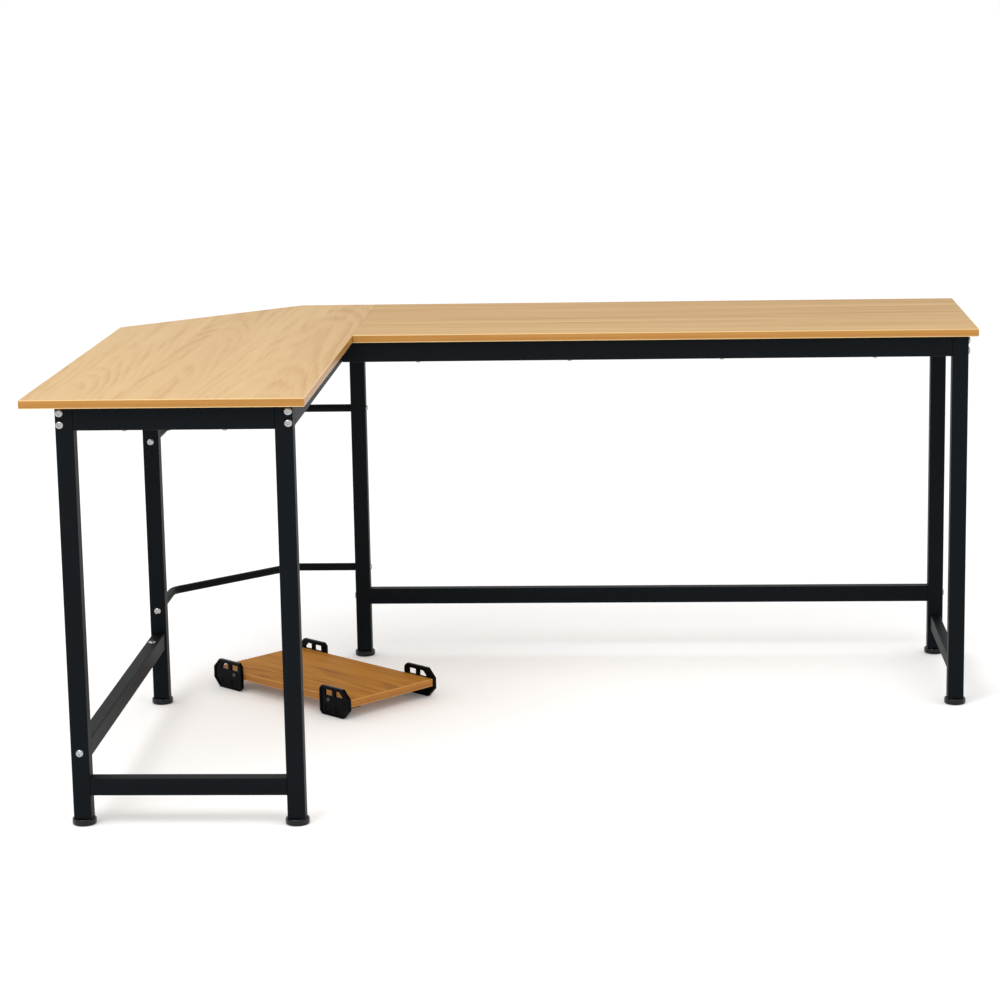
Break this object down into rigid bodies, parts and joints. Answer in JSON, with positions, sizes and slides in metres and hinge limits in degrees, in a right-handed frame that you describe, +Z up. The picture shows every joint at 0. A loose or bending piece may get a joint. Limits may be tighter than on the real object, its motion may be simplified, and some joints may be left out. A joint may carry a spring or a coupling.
{
  "type": "corner desk",
  "caption": "L-shaped corner desk with laminate boards on a square-tube frame, bent corner braces, levelling feet and a loose stand for a computer case.",
  "frame": {"origin": "on the floor, under the middle of the desk's outline", "axes": "+X along the long board, +Y to the back, +Z up; the user sits on the -Y side"},
  "size_m": [1.68, 1.25, 0.745],
  "materials": {
    "beech_laminate": "satin laminate with a printed beech grain",
    "beech_edging": "satin edge strip",
    "honey_laminate": "satin laminate, darker than the desk's boards",
    "honey_edging": "satin edge strip, red-brown",
    "black_powder_coat": "semi-matt powder coat",
    "zinc_plate": "bright zinc plate",
    "black_oxide": "blackened steel",
    "bare_steel": "plain steel",
    "black_plastic": "moulded, fine texture"
  },
  "bodies": {
    "desk": {"back_stretcher": "black_powder_coat", "beam_bolts": "zinc_plate", "brace_inserts": "bare_steel", "corner_back_foot_plug": "black_plastic", "corner_back_leg": "black_powder_coat", "corner_left_foot_plug": "black_plastic", "corner_left_leg": "black_powder_coat", "frame_bolts": "zinc_plate", "left_stretcher": "black_powder_coat", "leg_top_plugs": "black_plastic", "lower_corner_brace": "black_powder_coat", "main_back_foot_plug": "black_plastic", "main_back_leg": "black_powder_coat", "main_back_rail": "black_powder_coat", "main_edge_band": "beech_edging", "main_end_low_rail": "black_powder_coat", "main_end_rail": "black_powder_coat", "main_front_foot_plug": "black_plastic", "main_front_leg": "black_powder_coat", "main_front_rail": "black_powder_coat", "main_top": "beech_laminate", "return_edge_band": "beech_edging", "return_front_rail": "black_powder_coat", "return_inner_rail": "black_powder_coat", "return_left_foot_plug": "black_plastic", "return_left_leg": "black_powder_coat", "return_left_rail": "black_powder_coat", "return_low_rail": "black_powder_coat", "return_right_foot_plug": "black_plastic", "return_right_leg": "black_powder_coat", "return_top": "beech_laminate", "seam_plates": "bare_steel", "seam_screws": "zinc_plate", "stretcher_bolt": "zinc_plate", "stretcher_end_plates": "bare_steel", "stretcher_tongue": "black_powder_coat", "top_rail_end_plates": "bare_steel", "top_screws": "zinc_plate", "upper_corner_brace": "black_powder_coat"},
    "stand": {"stand_board": "honey_laminate", "stand_bottom_screws": "zinc_plate", "stand_bracket_1": "black_plastic", "stand_bracket_2": "black_plastic", "stand_bracket_3": "black_plastic", "stand_bracket_4": "black_plastic", "stand_edge_band": "honey_edging", "stand_side_screws": "black_oxide"},
    "return_left_stud": {"return_left_foot_stud": "zinc_plate"},
    "return_left_pad": {"return_left_foot_pad": "black_plastic"},
    "return_right_stud": {"return_right_foot_stud": "zinc_plate"},
    "return_right_pad": {"return_right_foot_pad": "black_plastic"},
    "corner_left_stud": {"corner_left_foot_stud": "zinc_plate"},
    "corner_left_pad": {"corner_left_foot_pad": "black_plastic"},
    "corner_back_stud": {"corner_back_foot_stud": "zinc_plate"},
    "corner_back_pad": {"corner_back_foot_pad": "black_plastic"},
    "main_back_stud": {"main_back_foot_stud": "zinc_plate"},
    "main_back_pad": {"main_back_foot_pad": "black_plastic"},
    "main_front_stud": {"main_front_foot_stud": "zinc_plate"},
    "main_front_pad": {"main_front_foot_pad": "black_plastic"}
  },
  "joints": [
    {"name": "return_left_foot_travel", "type": "slide", "parent": "desk", "child": "return_left_stud", "axis": [0, 0, -1], "range_m": [0, 0.01001]},
    {"name": "return_left_foot_turn", "type": "hinge", "parent": "return_left_stud", "child": "return_left_pad", "pos_m": [-0.7675, -0.5935, 0], "axis": [0, 0, 1], "range_deg": [0, 2880]},
    {"name": "return_right_foot_travel", "type": "slide", "parent": "desk", "child": "return_right_stud", "axis": [0, 0, -1], "range_m": [0, 0.01001]},
    {"name": "return_right_foot_turn", "type": "hinge", "parent": "return_right_stud", "child": "return_right_pad", "pos_m": [-0.3975, -0.5935, 0], "axis": [0, 0, 1], "range_deg": [0, 2880]},
    {"name": "corner_left_foot_travel", "type": "slide", "parent": "desk", "child": "corner_left_stud", "axis": [0, 0, -1], "range_m": [0, 0.01001]},
    {"name": "corner_left_foot_turn", "type": "hinge", "parent": "corner_left_stud", "child": "corner_left_pad", "pos_m": [-0.7675, 0.1975, 0], "axis": [0, 0, 1], "range_deg": [0, 2880]},
    {"name": "corner_back_foot_travel", "type": "slide", "parent": "desk", "child": "corner_back_stud", "axis": [0, 0, -1], "range_m": [0, 0.01001]},
    {"name": "corner_back_foot_turn", "type": "hinge", "parent": "corner_back_stud", "child": "corner_back_pad", "pos_m": [-0.3975, 0.5815, 0], "axis": [0, 0, 1], "range_deg": [0, 2880]},
    {"name": "main_back_foot_travel", "type": "slide", "parent": "desk", "child": "main_back_stud", "axis": [0, 0, -1], "range_m": [0, 0.01001]},
    {"name": "main_back_foot_turn", "type": "hinge", "parent": "main_back_stud", "child": "main_back_pad", "pos_m": [0.8075, 0.5815, 0], "axis": [0, 0, 1], "range_deg": [0, 2880]},
    {"name": "main_front_foot_travel", "type": "slide", "parent": "desk", "child": "main_front_stud", "axis": [0, 0, -1], "range_m": [0, 0.01001]},
    {"name": "main_front_foot_turn", "type": "hinge", "parent": "main_front_stud", "child": "main_front_pad", "pos_m": [0.8075, 0.1765, 0], "axis": [0, 0, 1], "range_deg": [0, 2880]},
    {"name": "stand_slide", "type": "slide", "parent": "desk", "child": "stand", "axis": [0.7431, -0.6691, 0], "range_m": [-0.05, 0.3]}
  ],
  "couplings": [
    {"joint": "return_left_foot_travel", "follows": "return_left_foot_turn", "m_per_rad": 0.00019894},
    {"joint": "return_right_foot_travel", "follows": "return_right_foot_turn", "m_per_rad": 0.00019894},
    {"joint": "corner_left_foot_travel", "follows": "corner_left_foot_turn", "m_per_rad": 0.00019894},
    {"joint": "corner_back_foot_travel", "follows": "corner_back_foot_turn", "m_per_rad": 0.00019894},
    {"joint": "main_back_foot_travel", "follows": "main_back_foot_turn", "m_per_rad": 0.00019894},
    {"joint": "main_front_foot_travel", "follows": "main_front_foot_turn", "m_per_rad": 0.00019894}
  ]
}
